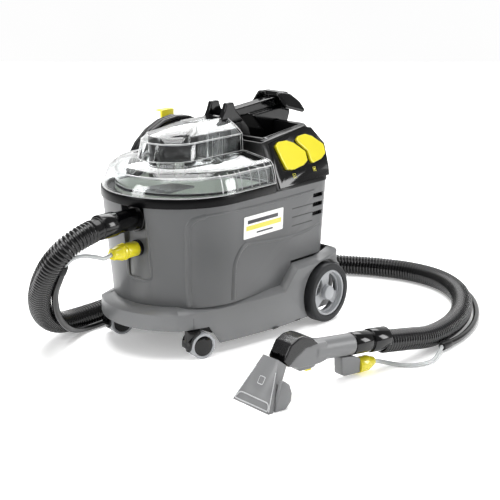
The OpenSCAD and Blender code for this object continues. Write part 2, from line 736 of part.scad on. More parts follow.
module mains_plug() color(dark) translate([219, 192, 0]) {
    translate([0, 0, 130]) cylinder(h = 33, r1 = 14, r2 = 7);
    translate([0, 0, 124]) cylinder(h = 6, r = 18);
    for (s = [-1, 1]) translate([s * 9.5, 0, 105]) cylinder(h = 19, r = 2.4);
}

// ---- hose ----

module suction_hose() color([0.1, 0.1, 0.1]) swept(hose_route, hose_d, 12);
module spray_sheath() color([0.16, 0.16, 0.16]) swept(sheath_route, sheath_d, 8);
module machine_tube() color(clear) swept(tube_in_route, tube_d, 8);
module tool_tube() color(clear) swept(tube_out_route, tube_d, 8);

module machine_cuff() color([0.08, 0.08, 0.08]) translate([0, inlet_y, inlet_z]) difference() {
    union() {
        x_cyl(-264, recess_x - 9, 20);
        x_cyl(-300, -264, 22.5);
        x_cyl(recess_x - 9, socket_end, 16.9);
    }
    x_cyl(-292, -180, 14.5);
}

module machine_coupler() color(yellow) translate([0, inlet_y, water_z]) {
    x_cyl(-250, recess_x - 8, 14);
    translate([-250, 0, 0]) rotate([0, -90, 0]) cylinder(h = 20, r1 = 14, r2 = 9);
    x_cyl(recess_x - 8, -200, 6.9);
}

// ---- hand tool, drawn from its lip with X along the grip ----

grip_slope = 5;
grip_x = 128;
grip_z = 69;
module grip_axis() translate([grip_x, 0, grip_z]) rotate([0, grip_slope, 0]) children();

module tool_grip() color(grey) in_tool() difference() {
    union() {
        grip_axis() x_cyl(0, 92, grip_d / 2);
        side(-17, 17, [[64, 58], [88, 50], [132, 48], [150, 51], [150, 84], [128, 86], [100, 84], [76, 70]]);
        side(-11, 11, [[84, 51.5], [95, 41], [126, 41], [134, 48.1]]);
    }
    grip_axis() x_cyl(4, 93, grip_d / 2 - 3);
    side(-14, 14, [[60, 63], [89, 53], [136, 54], [136, 80], [126, 82], [98, 80], [70, 76]]);
    side(-8.4, 8.4, [[100, 34], [126.6, 34], [126.6, 63], [100, 60]]);
}

module tool_cover() color([0.2, 0.2, 0.21]) in_tool() difference() {
    side(-21, 21, [[50, 72], [66, 98], [82, 106], [98, 107], [114, 100], [128, 86], [100, 84], [76, 70], [62, 58]]);
    side(-18, 18, [[48, 70], [66, 93], [84, 102], [98, 103], [111, 97], [117, 89], [99, 87], [74, 73], [61, 61]]);
}

module nozzle_solid(d) hull() {
    translate([0 + d, 0, 0]) linear_extrude(skin) square([10 - d, 2 * (lip_half - d)], center = true);
    translate([48, 0, 70]) rotate([0, 38, 0]) linear_extrude(skin) square([22 - 2 * d, 2 * (20 - d)], center = true);
}

module tool_nozzle() color(clear) in_tool() difference() {
    nozzle_solid(0);
    translate([0, 0, -0.5]) scale([1, 1, 1.02]) nozzle_solid(2.2);
}

module nozzle_cheeks() color([0.36, 0.36, 0.37]) in_tool() {
    side(-lip_half - 1, 8 - lip_half, [[9, 0.5], [32, 0.5], [43, 12], [45, 26], [40, 42], [30, 50], [24, 50]]);
    side(lip_half - 8, lip_half + 1, [[9, 0.5], [26, 0.5], [30, 6], [27, 13], [18, 16], [12, 14]]);
}

module spray_jet() color("goldenrod") in_tool() {
    translate([38, 0, 22]) rotate([0, -160, 0]) cylinder(h = 12, r1 = 5, r2 = 3);
    side(-3, 3, [[36, 22], [64, 58], [70, 56], [42, 20]]);
}

module tool_valve() color(grey) in_tool() {
    side(-11, 11, [[192, 12], [198, 8], [236, 6], [236, 33], [220, 41], [190, 45]]);
}

module tool_trigger() color(yellow) in_tool() {
    translate([104, 0, 57]) y_cyl(-13.8, 13.8, 2.5);
    side(-8, 8, [[101, 47], [110, 38], [121, 37], [123.5, 44], [123.5, 59], [101, 59]]);
}

module tool_coupler() color(yellow) in_tool() translate([0, 0, 17]) {
    x_cyl(236, 258, 14.5);
    translate([258, 0, 0]) rotate([0, 90, 0]) cylinder(h = 18, r1 = 14.5, r2 = 8);
}

module tool_cuff() color([0.08, 0.08, 0.08]) in_tool() grip_axis() difference() {
    union() {
        x_cyl(92, 132, 20);
        x_cyl(132, 136, 18);
        x_cyl(136, 176, 21.5);
    }
    x_cyl(90, 168, 15);
}

module cover_screws() color(steel) {
    for (s = [-1, 1]) {
        translate([60, s * (tub_half - 46), cover_top - 13]) cylinder(h = 3, r = 3);
        translate([190, s * 96, plate_z - 2.5]) cylinder(h = 2.5, r = 4);
        translate([-90, s * 90, plate_z - 2.5]) cylinder(h = 2.5, r = 4);
    }
}

skirt();
base_plate();
main_housing();
rim_gasket();
vent_insert();
label_plate();
motor_cover();
switch_panel();
carry_handle();
front_clip();
rear_saddle();
lower_hook();
fresh_tank();
pump();
pump_line();
suction_motor();
fan_rotor();
inlet_socket();
water_socket();
waste_tank();
inlet_duct();
tank_lid();
lid_seal();
float_cage();
float_ball();
spray_switch();
suction_switch();
lead_hook();
axle();
near_rim();
near_tyre();
near_cap();
far_rim();
far_tyre();
far_cap();
near_caster_fork();
near_caster_wheels();
far_caster_fork();
far_caster_wheels();
cable_gland();
mains_lead();
lead_coil();
lead_tail();
mains_plug();
machine_cuff();
suction_hose();
tool_cuff();
spray_sheath();
machine_tube();
tool_tube();
machine_coupler();
tool_coupler();
tool_grip();
tool_cover();
tool_nozzle();
nozzle_cheeks();
spray_jet();
tool_valve();
tool_trigger();
cover_screws();
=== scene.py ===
# %% [markdown]
# # A spray extraction carpet cleaner
#
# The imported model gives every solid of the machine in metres, in one frame: x runs to the rear, y to the far side
# and z up, with the floor at z = 0. This script dresses that frame. It adds the cords first, because they
# decide how much floor the machine takes, and then goes over the mouldings one by one.

# %% Load the frame
import json
import math

import bpy
from mathutils import Matrix, Vector


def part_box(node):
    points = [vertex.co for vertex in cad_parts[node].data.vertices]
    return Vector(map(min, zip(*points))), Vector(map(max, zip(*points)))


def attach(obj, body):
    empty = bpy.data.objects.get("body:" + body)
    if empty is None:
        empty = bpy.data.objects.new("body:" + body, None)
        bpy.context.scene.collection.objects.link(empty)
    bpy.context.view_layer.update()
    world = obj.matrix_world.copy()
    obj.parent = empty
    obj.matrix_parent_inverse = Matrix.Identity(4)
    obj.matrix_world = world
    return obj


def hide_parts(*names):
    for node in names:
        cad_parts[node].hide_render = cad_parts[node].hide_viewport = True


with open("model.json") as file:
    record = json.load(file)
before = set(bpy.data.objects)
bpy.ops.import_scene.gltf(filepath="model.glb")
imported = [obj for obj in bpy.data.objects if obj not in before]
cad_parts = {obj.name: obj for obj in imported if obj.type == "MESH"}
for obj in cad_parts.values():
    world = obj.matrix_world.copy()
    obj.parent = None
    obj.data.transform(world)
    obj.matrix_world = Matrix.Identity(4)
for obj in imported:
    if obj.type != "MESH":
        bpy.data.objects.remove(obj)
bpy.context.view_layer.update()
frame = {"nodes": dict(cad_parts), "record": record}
nodes = frame["nodes"]
MM = 0.001
body_of_node = {n: b for b, names in frame["record"]["behaviour"]["bodies"].items() for n in names}
slot_of_node = {p["node"]: p["material_slot"] for p in frame["record"]["subparts"]}

# %% [markdown]
# ## Camera
#
# A catalogue picture of a machine like this is taken with a long lens from a few metres away, a little above the
# object, so that upright edges stay upright. A 97 mm lens on a 36 mm wide sensor does the same here. The camera
# has no roll, so two turns place it: down from level, and round to face the nose and the near side.

# %% Camera
CAMERA_HEADING = math.radians(-48.97)
CAMERA_DOWN = 15.31
camera = bpy.data.objects.new("camera", bpy.data.cameras.new("camera"))
bpy.context.scene.collection.objects.link(camera)
camera.location = (-1.8448, -1.7136, 0.8419)
camera.rotation_euler = (math.radians(90 - CAMERA_DOWN), 0, CAMERA_HEADING)
camera.data.lens = 97.2
camera.data.sensor_width = 36
bpy.context.scene.camera = camera

# %% [markdown]
# ## Small helpers
#
# An operator acts on everything that is selected, so each step first selects one piece only. A finished piece
# keeps its object at the origin and its place in its mesh, rides on a body of the frame and names the finish
# that it wears.

# %% Helpers for pieces
finishes = {}
SMOOTH_BELOW = math.radians(40)
MERGE_WITHIN = 0.02 * MM


def pick(piece):
    """Selects this piece and nothing else."""
    if bpy.context.object and bpy.context.object.mode != "OBJECT":
        bpy.ops.object.mode_set(mode="OBJECT")
    for other in bpy.context.selected_objects:
        other.select_set(False)
    piece.select_set(True)
    bpy.context.view_layer.objects.active = piece


def added(name):
    """Names the primitive that was just added, and picks it."""
    piece = bpy.context.object
    piece.name = name
    piece.data.name = name
    pick(piece)
    return piece


def choose(piece, faces=None, points=None):
    """Goes into edit mode with only those faces or points selected that pass a test on their place."""
    pick(piece)
    bpy.ops.object.mode_set(mode="EDIT")
    bpy.ops.mesh.select_mode(type="FACE" if faces else "VERT")
    bpy.ops.mesh.select_all(action="DESELECT")
    bpy.ops.object.mode_set(mode="OBJECT")
    mesh = piece.data
    if faces:
        for f in mesh.polygons:
            f.select = bool(faces(f.center, f.normal))
    else:
        for v in mesh.vertices:
            v.select = bool(points(v.co))
    bpy.ops.object.mode_set(mode="EDIT")


def leave():
    """Goes back from edit mode to object mode."""
    bpy.ops.object.mode_set(mode="OBJECT")


def applied(piece):
    """Applies every modifier of the piece in order."""
    pick(piece)
    for m in list(piece.modifiers):
        bpy.ops.object.modifier_apply(modifier=m.name)
    return piece


def rounded(piece, width, segments=2, angle=35):
    """Rounds the piece's edges by width, as a mould does."""
    m = piece.modifiers.new("rounding", "BEVEL")
    m.width = width
    m.segments = segments
    m.limit_method = "ANGLE"
    m.angle_limit = math.radians(angle)
    applied(piece)
    bpy.ops.object.shade_smooth_by_angle(angle=SMOOTH_BELOW)
    return piece


def dress(piece, finish, body):
    """Puts the piece's place in its mesh, gives it its finish and lets it ride on its body."""
    pick(piece)
    bpy.ops.object.transform_apply(location=True, rotation=True, scale=True)
    piece.data.materials.clear()
    piece.data.materials.append(finishes[finish])
    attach(piece, body)
    return piece


def copy_of(node):
    """A copy of a solid with its doubles merged. It is left in edit mode, with all of it selected."""
    piece = bpy.data.objects.new(node + "_shell", nodes[node].data.copy())
    bpy.context.scene.collection.objects.link(piece)
    pick(piece)
    bpy.ops.object.mode_set(mode="EDIT")
    bpy.ops.mesh.select_all(action="SELECT")
    bpy.ops.mesh.remove_doubles(threshold=MERGE_WITHIN)
    return piece


def instead_of(node, piece, finish):
    """Shows the piece in the place of a solid, with a finish and on the solid's body, and hides the solid."""
    dress(piece, finish, body_of_node[node])
    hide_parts(node)
    return piece


def moulded(node, finish, width):
    """A copy of a solid with its edges rounded, which is shown in the solid's place."""
    piece = copy_of(node)
    bpy.ops.mesh.dissolve_limited(angle_limit=math.radians(1))
    leave()
    if width:
        rounded(piece, width)
    else:
        bpy.ops.object.shade_smooth_by_angle(angle=math.radians(35))
    return instead_of(node, piece, finish)


def softened(node, finish, voxel, passes):
    """As moulded, but remeshed in small cubes and smoothed, so that every corner gets a large soft radius."""
    piece = copy_of(node)
    leave()
    cubes = piece.modifiers.new("cubes", "REMESH")
    cubes.mode = "VOXEL"
    cubes.voxel_size = voxel
    soft = piece.modifiers.new("soft", "SMOOTH")
    soft.factor = 0.5
    soft.iterations = passes
    applied(piece)
    bpy.ops.object.shade_smooth()
    return instead_of(node, piece, finish)


# %% [markdown]
# ## Finishes
#
# Each finish starts from the material of the real part and from how its surface was made. Colours are sRGB hex
# values, and one function turns them to the linear numbers that shaders use. One small function adds a node
# with its settings and its links.

# %% Helpers for finishes


def linear(code):
    """An sRGB hex value as linear red, green, blue and alpha."""
    parts = [int(code[i:i + 2], 16) / 255 for i in (1, 3, 5)]
    return tuple(c / 12.92 if c < 0.04045 else ((c + 0.055) / 1.055) ** 2.4 for c in parts) + (1.0,)


def add(tree, kind, settings=None, links=None):
    """Adds a node, sets its sockets or properties by name, and links sockets into it."""
    node = tree.nodes.new(kind)
    for key, value in (settings or {}).items():
        if isinstance(key, int) or key in node.inputs:
            node.inputs[key].default_value = value
        else:
            setattr(node, key, value)
    for key, socket in (links or {}).items():
        tree.links.new(socket, node.inputs[key])
    return node


def begin(name):
    """A new material with an empty tree: gives the tree, object coordinates and the output node."""
    m = bpy.data.materials.new(name)
    m.use_nodes = True
    m.node_tree.nodes.clear()
    tree = m.node_tree
    place = add(tree, "ShaderNodeTexCoord").outputs["Object"]
    out = add(tree, "ShaderNodeOutputMaterial")
    finishes[name] = m
    return tree, place, out


def moulded_plastic(name, code, rough, grain_mm, depth, tint=0.05, coat=0.0, spread=0.08, shine=0.5):
    """Injection moulded plastic: a fine eroded grain, slight clouding of the gloss and a faint drift of colour."""
    tree, place, out = begin(name)
    base = linear(code)
    grain = add(tree, "ShaderNodeTexNoise", {"Scale": 1 / (grain_mm * MM), "Detail": 2.0}, {"Vector": place})
    cloud = add(tree, "ShaderNodeTexNoise", {"Scale": 14.0, "Detail": 3.0}, {"Vector": place})
    darker = tuple(c * (1 - tint) for c in base[:3]) + (1.0,)
    lighter = tuple(min(1, c * (1 + tint)) for c in base[:3]) + (1.0,)
    colour = add(tree, "ShaderNodeMix", {"data_type": "RGBA", 6: darker, 7: lighter}, {0: cloud.outputs["Fac"]})
    gloss = add(tree, "ShaderNodeMapRange", {"To Min": rough - spread / 2, "To Max": rough + spread / 2},
                {"Value": cloud.outputs["Fac"]})
    bump = add(tree, "ShaderNodeBump", {"Strength": depth, "Distance": 0.0002}, {"Height": grain.outputs["Fac"]})
    shader = add(tree, "ShaderNodeBsdfPrincipled",
                 {"IOR": 1.5, "Specular IOR Level": shine, "Coat Weight": coat, "Coat Roughness": 0.08},
                 {"Base Color": colour.outputs[2], "Roughness": gloss.outputs[0], "Normal": bump.outputs[0]})
    tree.links.new(shader.outputs[0], out.inputs[0])


# %% [markdown]
# The body is grey ABS from a spark-eroded mould: a matt surface with a grain of about a millimetre. The tub is a
# darker grey than the skirt and the hand tool. The black parts are the same plastic from a finer or a polished
# mould. Tyres are a soft elastomer, which scatters light widely. Yellow marks what a hand touches, in polished
# ABS. The numbers are the gloss's roughness, the grain in millimetres and the depth of the grain.

# %% Plastics
moulded_plastic("grey_abs", "#6E6F70", 0.36, 0.9, 0.25)
moulded_plastic("tub_grey_abs", "#525354", 0.36, 0.9, 0.25)
# A dark grey that paints the shade in the tub's vent grooves and the skirt's drain slots; no part is made of it.
moulded_plastic("groove_shade_grey", "#2C2D2E", 0.46, 0.9, 0.25)
moulded_plastic("black_abs", "#080809", 0.3, 0.7, 0.15, shine=0.28)
moulded_plastic("rim_elastomer", "#020203", 0.25, 1.2, 0.05, shine=0.12)
moulded_plastic("polished_black_abs", "#030304", 0.12, 1.5, 0.02, spread=0.05, shine=0.42)
moulded_plastic("yellow_abs", "#DCCF1E", 0.24, 1.5, 0.05, coat=0.4, spread=0.05)
moulded_plastic("light_grey_pp", "#A3A5A8", 0.38, 0.9, 0.2)
moulded_plastic("tyre_elastomer", "#212224", 0.5, 1.2, 0.4, shine=0.3)
moulded_plastic("hose_vinyl", "#040405", 0.2, 2.0, 0.03, spread=0.05)
moulded_plastic("lead_rubber", "#08080A", 0.28, 1.0, 0.05)
moulded_plastic("tank_polyethylene", "#DDE4DA", 0.35, 1.2, 0.1)
moulded_plastic("label_film", "#F2F2F0", 0.3, 1.5, 0.02)
moulded_plastic("yellow_print", "#DCD452", 0.35, 1.5, 0.02)
moulded_plastic("grey_print", "#26272B", 0.35, 1.5, 0.02)
moulded_plastic("smoked_black_abs", "#161617", 0.2, 1.5, 0.02, spread=0.05, shine=0.45)

# %% [markdown]
# The lid is clear polycarbonate: light goes through it as through glass, so its shader transmits all of it. The
# smoked nozzle, the frosted edges and the milky spray tubes let less through, and scatter the rest. The numbers
# are the cover, the roughness and the share of light that goes through. Metals show fine turning lines instead.

# %% Clear plastic and metals


def clear_plastic(name, code, alpha, rough, through=1.0):
    """A plastic that lets light through, with a gloss that drifts a little."""
    tree, place, out = begin(name)
    flow = add(tree, "ShaderNodeTexNoise", {"Scale": 30.0, "Detail": 2.0}, {"Vector": place})
    gloss = add(tree, "ShaderNodeMapRange", {"To Min": rough, "To Max": rough + 0.03},
                {"Value": flow.outputs["Fac"]})
    shader = add(tree, "ShaderNodeBsdfPrincipled",
                 {"Base Color": linear(code), "IOR": 1.5, "Transmission Weight": through, "Alpha": alpha},
                 {"Roughness": gloss.outputs[0]})
    tree.links.new(shader.outputs[0], out.inputs[0])


def turned_metal(name, code, rough):
    """A bare metal with a very fine uneven surface."""
    tree, place, out = begin(name)
    lines = add(tree, "ShaderNodeTexNoise", {"Scale": 900.0, "Detail": 1.0}, {"Vector": place})
    bump = add(tree, "ShaderNodeBump", {"Strength": 0.1, "Distance": 0.0001}, {"Height": lines.outputs["Fac"]})
    gloss = add(tree, "ShaderNodeMapRange", {"To Min": rough, "To Max": rough + 0.1},
                {"Value": lines.outputs["Fac"]})
    shader = add(tree, "ShaderNodeBsdfPrincipled", {"Base Color": linear(code), "Metallic": 1.0},
                 {"Roughness": gloss.outputs[0], "Normal": bump.outputs[0]})
    tree.links.new(shader.outputs[0], out.inputs[0])


clear_plastic("clear_polycarbonate", "#FAFCFC", 1.0, 0.0)
# The next finish is no plastic of the lid. It is a white, nearly opaque finish that paints the bright highlights on
# the lid's edges and ribs.
clear_plastic("edge_highlight_white", "#FFFFFF", 0.9, 0.12, 0.25)
clear_plastic("smoked_polycarbonate", "#8C8D8E", 0.93, 0.16, 0.3)
clear_plastic("frosted_edge", "#C4C5C6", 0.95, 0.3, 0.1)
clear_plastic("clear_hose_pvc", "#C6C9C9", 1.0, 0.2, 0.35)
turned_metal("zinc_steel", "#C9CACC", 0.3)
turned_metal("turned_brass", "#C9A45A", 0.28)
turned_metal("cast_aluminium", "#C4C6C8", 0.4)

# %% [markdown]
# ## Cords
#
# Five flexible things leave the machine. The suction hose runs from its socket in the nose, down to the floor,
# round behind the machine and back to the hand tool. A black sheath with the spray line inside rides along it,
# and a clear tube shows at each end of the sheath. The mains lead leaves a gland on the far side and hangs in
# turns on two hooks. Each is one smooth line through a few chosen points.

# %% Routes in metres
hose_route = [
    (-0.296, -0.018, 0.257), (-0.320, -0.018, 0.253), (-0.345, -0.013, 0.244), (-0.364, -0.003, 0.230),
    (-0.375, 0.016, 0.206), (-0.373, 0.040, 0.178), (-0.362, 0.068, 0.145), (-0.343, 0.096, 0.111),
    (-0.315, 0.123, 0.078), (-0.280, 0.145, 0.050), (-0.240, 0.163, 0.031), (-0.200, 0.175, 0.023),
    (-0.150, 0.178, 0.0215), (-0.090, 0.181, 0.0215), (-0.010, 0.191, 0.0215), (0.080, 0.200, 0.0215),
    (0.180, 0.206, 0.0215), (0.270, 0.194, 0.0215), (0.350, 0.158, 0.0215), (0.415, 0.095, 0.0215),
    (0.460, 0.020, 0.0215), (0.495, -0.055, 0.0215), (0.512, -0.130, 0.0215), (0.502, -0.205, 0.0215),
    (0.462, -0.272, 0.0215), (0.400, -0.327, 0.0215), (0.325, -0.370, 0.0215), (0.245, -0.395, 0.0215),
    (0.165, -0.405, 0.026), (0.095, -0.402, 0.038), (0.032, -0.394, 0.048)]
sheath_route = [
    (-0.3505, 0.015, 0.194), (-0.3475, 0.032, 0.167), (-0.3365, 0.059, 0.133), (-0.3165, 0.083, 0.0975),
    (-0.290, 0.104, 0.064), (-0.258, 0.122, 0.036), (-0.222, 0.139, 0.017), (-0.180, 0.152, 0.0075),
    (-0.120, 0.154, 0.0075), (-0.050, 0.158, 0.0075), (0.020, 0.166, 0.010), (0.068, 0.170, 0.026),
    (0.112, 0.1865, 0.047), (0.160, 0.208, 0.051), (0.205, 0.225, 0.044), (0.255, 0.227, 0.024),
    (0.300, 0.213, 0.008), (0.365, 0.183, 0.0075), (0.435, 0.113, 0.0075), (0.486, 0.030, 0.0075),
    (0.521, -0.050, 0.0075), (0.540, -0.130, 0.0075), (0.528, -0.218, 0.0075), (0.484, -0.292, 0.0075),
    (0.418, -0.350, 0.0075), (0.338, -0.396, 0.0075), (0.252, -0.423, 0.0075), (0.168, -0.432, 0.010)]
machine_tube_route = [
    (-0.270, -0.018, 0.203), (-0.288, -0.018, 0.200), (-0.306, -0.015, 0.206), (-0.328, -0.008, 0.211),
    (-0.345, 0.000, 0.208), (-0.3505, 0.015, 0.194)]
tool_tube_route = [
    (0.008, -0.388, 0.017), (0.028, -0.394, 0.011), (0.048, -0.412, 0.0045), (0.060, -0.434, 0.0045),
    (0.084, -0.449, 0.0045), (0.110, -0.452, 0.005), (0.138, -0.444, 0.007), (0.168, -0.432, 0.010)]
lead_route = [
    (0.078, 0.161, 0.172), (0.052, 0.161, 0.170), (0.022, 0.161, 0.176), (-0.006, 0.161, 0.192),
    (-0.028, 0.161, 0.218), (-0.037, 0.161, 0.246)]
tail_route = [(0.218, 0.188, 0.222), (0.219, 0.192, 0.195), (0.219, 0.192, 0.163)]


def eased(route, steps=8):
    """Points on a smooth line that passes through every point of the route."""
    pts = [Vector(p) for p in route]
    pts = [2 * pts[0] - pts[1]] + pts + [2 * pts[-1] - pts[-2]]
    line = []
    for a, b, c, d in zip(pts, pts[1:], pts[2:], pts[3:]):
        for k in range(steps):
            t = k / steps
            line.append(0.5 * (2 * b + (c - a) * t + (2 * a - 5 * b + 4 * c - d) * t * t
                               + (3 * b - a - 3 * c + d) * t ** 3))
    return line + [pts[-2]]


def run_length(line):
    """The length of a line through its points."""
    return sum((b - a).length for a, b in zip(line, line[1:]))


def line_object(name, line, thickness=0.0):
    """A curve through the points of a line, with a round section if a thickness is given."""
    curve = bpy.data.curves.new(name, "CURVE")
    curve.dimensions = "3D"
    spline = curve.splines.new("POLY")
    spline.points.add(len(line) - 1)
    for point, place in zip(spline.points, line):
        point.co = (*place, 1)
    curve.bevel_depth = thickness / 2
    curve.bevel_resolution = 4
    curve.use_fill_caps = True
    piece = bpy.data.objects.new(name, curve)
    bpy.context.scene.collection.objects.link(piece)
    return piece

# %% [markdown]
# ### The ribbed hose
#
# A vinyl hose of this kind is wound from a strip, so it shows one low ring every few millimetres. One ring is
# modelled as a short open tube with a raised middle: it is cut at four places and its middle is widened twice. An
# Array modifier repeats it to the length of the route, merging the seams, and a Curve modifier bends the row
# along it.

# %% Suction hose
RING = 7 * MM
VALLEY_RADIUS = 18.4 * MM
hose_line = eased(hose_route)
hose_path = line_object("hose_path", hose_line)
bpy.ops.mesh.primitive_cylinder_add(vertices=28, radius=VALLEY_RADIUS, depth=RING, end_fill_type="NOTHING",
                                    rotation=(0, math.pi / 2, 0))
hose = added("suction_hose_ribbed")
bpy.ops.object.transform_apply(location=True, rotation=True, scale=True)
for x in (-0.28, -0.12, 0.12, 0.28):
    bpy.ops.object.mode_set(mode="EDIT")
    bpy.ops.mesh.select_all(action="SELECT")
    bpy.ops.mesh.bisect(plane_co=(x * RING, 0, 0), plane_no=(1, 0, 0))
    leave()
choose(hose, points=lambda p: abs(p.x) < 0.3 * RING)
bpy.ops.transform.resize(value=(1, 1.09, 1.09))
leave()
choose(hose, points=lambda p: abs(p.x) < 0.2 * RING)
bpy.ops.transform.resize(value=(1, 1.043, 1.043))
leave()
bpy.ops.object.mode_set(mode="EDIT")
bpy.ops.mesh.select_all(action="SELECT")
bpy.ops.transform.translate(value=(RING / 2, 0, 0))
leave()
repeat = hose.modifiers.new("rings", "ARRAY")
repeat.fit_type = "FIT_LENGTH"
repeat.fit_length = run_length(hose_line)
repeat.use_relative_offset = False
repeat.use_constant_offset = True
repeat.constant_offset_displace = (RING, 0, 0)
repeat.use_merge_vertices = True
bend = hose.modifiers.new("bend", "CURVE")
bend.object = hose_path
applied(hose)
bpy.ops.object.shade_smooth()
bpy.data.objects.remove(hose_path)
dress(hose, "hose_vinyl", "machine")
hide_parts("suction_hose")
print("hose", round(run_length(hose_line), 3), "m,", len(hose.data.polygons), "faces")

# %% [markdown]
# ### Sheath, clear tubes and mains lead
#
# These are smooth, so a curve with a round section is enough. The lead's turns are laid three across and three
# deep on the hooks, twenty-four points to a turn, and the line moves over to the next place during the last
# quarter of each turn.

# %% Smooth cords
SHEATH_WIDTH = 13 * MM
TUBE_WIDTH = 8 * MM
LEAD_WIDTH = 8 * MM
sheath_line = eased(sheath_route)
sheath = line_object("spray_sheath_line", sheath_line, SHEATH_WIDTH)
machine_tube_line = eased(machine_tube_route)
machine_tube = line_object("machine_tube_line", machine_tube_line, TUBE_WIDTH)
tool_tube_line = eased(tool_tube_route)
tool_tube = line_object("tool_tube_line", tool_tube_line, TUBE_WIDTH)

# each turn's place is its radius and how far it lies to the far side of the middle, both in millimetres
FIRST_RADIUS, FIRST_Y, PITCH = 120.4, 160.4, 8.6
STEPS = 24
centre = Vector((0.084, 0, 0.246))
places = [(FIRST_RADIUS + PITCH * layer, FIRST_Y + PITCH * (j if layer % 2 == 0 else 2 - j))
          for layer in range(3) for j in range(3)]
turns = []
for k, (r, y) in enumerate(places):
    r2, y2 = places[min(k + 1, len(places) - 1)]
    for i in range(STEPS):
        move = max(0, (i / STEPS - 0.75) * 4)
        a = math.pi + 2 * math.pi * (i / STEPS)
        if k == 0 and i == 0:
            continue  # the route from the gland comes in here
        if k == len(places) - 1 and i > STEPS / 2:
            break  # the tail leaves the coil half way round
        rr, yy = (r + (r2 - r) * move) * MM, (y + (y2 - y) * move) * MM
        turns.append(centre + Vector((rr * math.cos(a), yy, -rr * math.sin(a))))
lead_line = eased(lead_route)[:-1] + turns + eased([turns[-1]] + tail_route)[1:]
lead = line_object("mains_lead_line", lead_line, LEAD_WIDTH)
print("sheath", round(run_length(sheath_line), 3), "lead", round(run_length(lead_line), 3), "m")

for piece, finish, slot, solids in (
        (sheath, "hose_vinyl", "hose_black", ["spray_sheath"]),
        (machine_tube, "clear_hose_pvc", "clear_plastic", ["machine_tube"]),
        (tool_tube, "clear_hose_pvc", "clear_plastic", ["tool_tube"]),
        (lead, "lead_rubber", "black_rubber", ["mains_lead", "lead_coil", "lead_tail"])):
    piece.data.materials.append(finishes[finish])
    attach(piece, "machine")
    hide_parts(*solids)

# %% [markdown]
# Where the spray line goes into the sheath, a short sleeve of shrunk tube holds the joint at each end.

# %% Shrink sleeves


def sleeve(name, line, start, end):
    """A closed sleeve on the line between two of its points, a little wider than the sheath and rounded off."""
    a, b = line[start], line[end]
    bpy.ops.mesh.primitive_cylinder_add(vertices=24, radius=7.4 * MM, depth=(b - a).length, location=(a + b) / 2,
                                        rotation=(b - a).to_track_quat("Z", "Y").to_euler())
    piece = added(name)
    rounded(piece, 1.2 * MM, 3, 40)
    return dress(piece, "black_abs", "machine")


machine_sleeve = sleeve("machine_sleeve", sheath_line, 0, 5)
tool_sleeve = sleeve("tool_sleeve", sheath_line, -4, -1)

# %% [markdown]
# ## Mouldings
#
# The solids already have the right shapes. Each one that shows gets a copy with its doubles merged and its
# edges rounded by the radius that its mould has.

# %% Rounded shells
shells = {}
for node, finish, width in (
        ("main_housing", "tub_grey_abs", 1.2), ("skirt", "grey_abs", 1.2), ("rim_gasket", "rim_elastomer", 1.5),
        ("motor_cover", "black_abs", 1.0), ("switch_panel", "polished_black_abs", 0.6),
        ("tank_lid", "clear_polycarbonate", 0.0), ("float_cage", "polished_black_abs", 0.6),
        ("near_tyre", "tyre_elastomer", 1.5), ("far_tyre", "tyre_elastomer", 1.5),
        ("near_rim", "light_grey_pp", 0.8), ("far_rim", "light_grey_pp", 0.8),
        ("near_cap", "light_grey_pp", 1.5), ("far_cap", "light_grey_pp", 1.5),
        ("lead_hook", "yellow_abs", 1.0), ("machine_coupler", "yellow_abs", 0.8),
        ("tool_coupler", "yellow_abs", 0.8),
        ("tool_trigger", "yellow_abs", 1.0), ("machine_cuff", "polished_black_abs", 1.2),
        ("tool_cuff", "polished_black_abs", 1.2), ("nozzle_cheeks", "grey_abs", 1.5),
        ("near_caster_fork", "polished_black_abs", 0.8), ("far_caster_fork", "polished_black_abs", 0.8),
        ("near_caster_wheels", "light_grey_pp", 0.8), ("far_caster_wheels", "light_grey_pp", 0.8),
        ("inlet_socket", "polished_black_abs", 0.8), ("water_socket", "polished_black_abs", 0.8),
        ("tool_nozzle", "smoked_polycarbonate", 0.0)):
    shells[node] = moulded(node, finish, width * MM)

# %% [markdown]
# The handles, the switches and the hand tool have no sharp corner at all, because a hand closes round them. A
# bevel runs out of room on their short edges, so they are remeshed in small cubes and smoothed instead.

# %% Soft shells
for node, finish, voxel, passes in (
        ("spray_switch", "yellow_abs", 0.8, 8), ("suction_switch", "yellow_abs", 0.8, 8),
        ("carry_handle", "polished_black_abs", 1.2, 10), ("front_clip", "polished_black_abs", 0.9, 8),
        ("rear_saddle", "polished_black_abs", 1.2, 12), ("tool_grip", "grey_abs", 1.0, 45),
        ("tool_cover", "smoked_black_abs", 1.0, 50), ("tool_valve", "grey_abs", 1.0, 40)):
    shells[node] = softened(node, finish, voxel * MM, passes)

# %% [markdown]
# ## Lines on the tub
#
# The tub's wall is stiffened by soft ridges that its mould leaves: one up the corner of the nose, one beside the
# skirt's hump, and a shallow border below the rim. Each is a bead, a line laid a little below the wall's surface
# with a round section, so only its crown stands out. The wall leans outwards from its foot to its rim and its
# nose is half a circle in plan, so helpers find its surface.

# %% Beads on the tub
FOOT_Z, RIM_Z = 93, 282
FOOT_HALF, RIM_HALF = 134, 142
FOOT_FRONT, RIM_FRONT = 200, 220


def tub_plan(z):
    """The tub's half width at a height, and how far its nose reaches forward, in millimetres."""
    t = (z - FOOT_Z) / (RIM_Z - FOOT_Z)
    return FOOT_HALF + (RIM_HALF - FOOT_HALF) * t, FOOT_FRONT + (RIM_FRONT - FOOT_FRONT) * t


def on_tub(x, z, out=0.0):
    """The point of the tub's near wall at x and z in millimetres, moved outwards by out."""
    half, front = tub_plan(z)
    centre_x = half - front
    side_x = min(x - centre_x, 0)
    y = -math.sqrt(half * half - side_x * side_x)
    return (x + out * side_x / half, y + out * y / half, z)


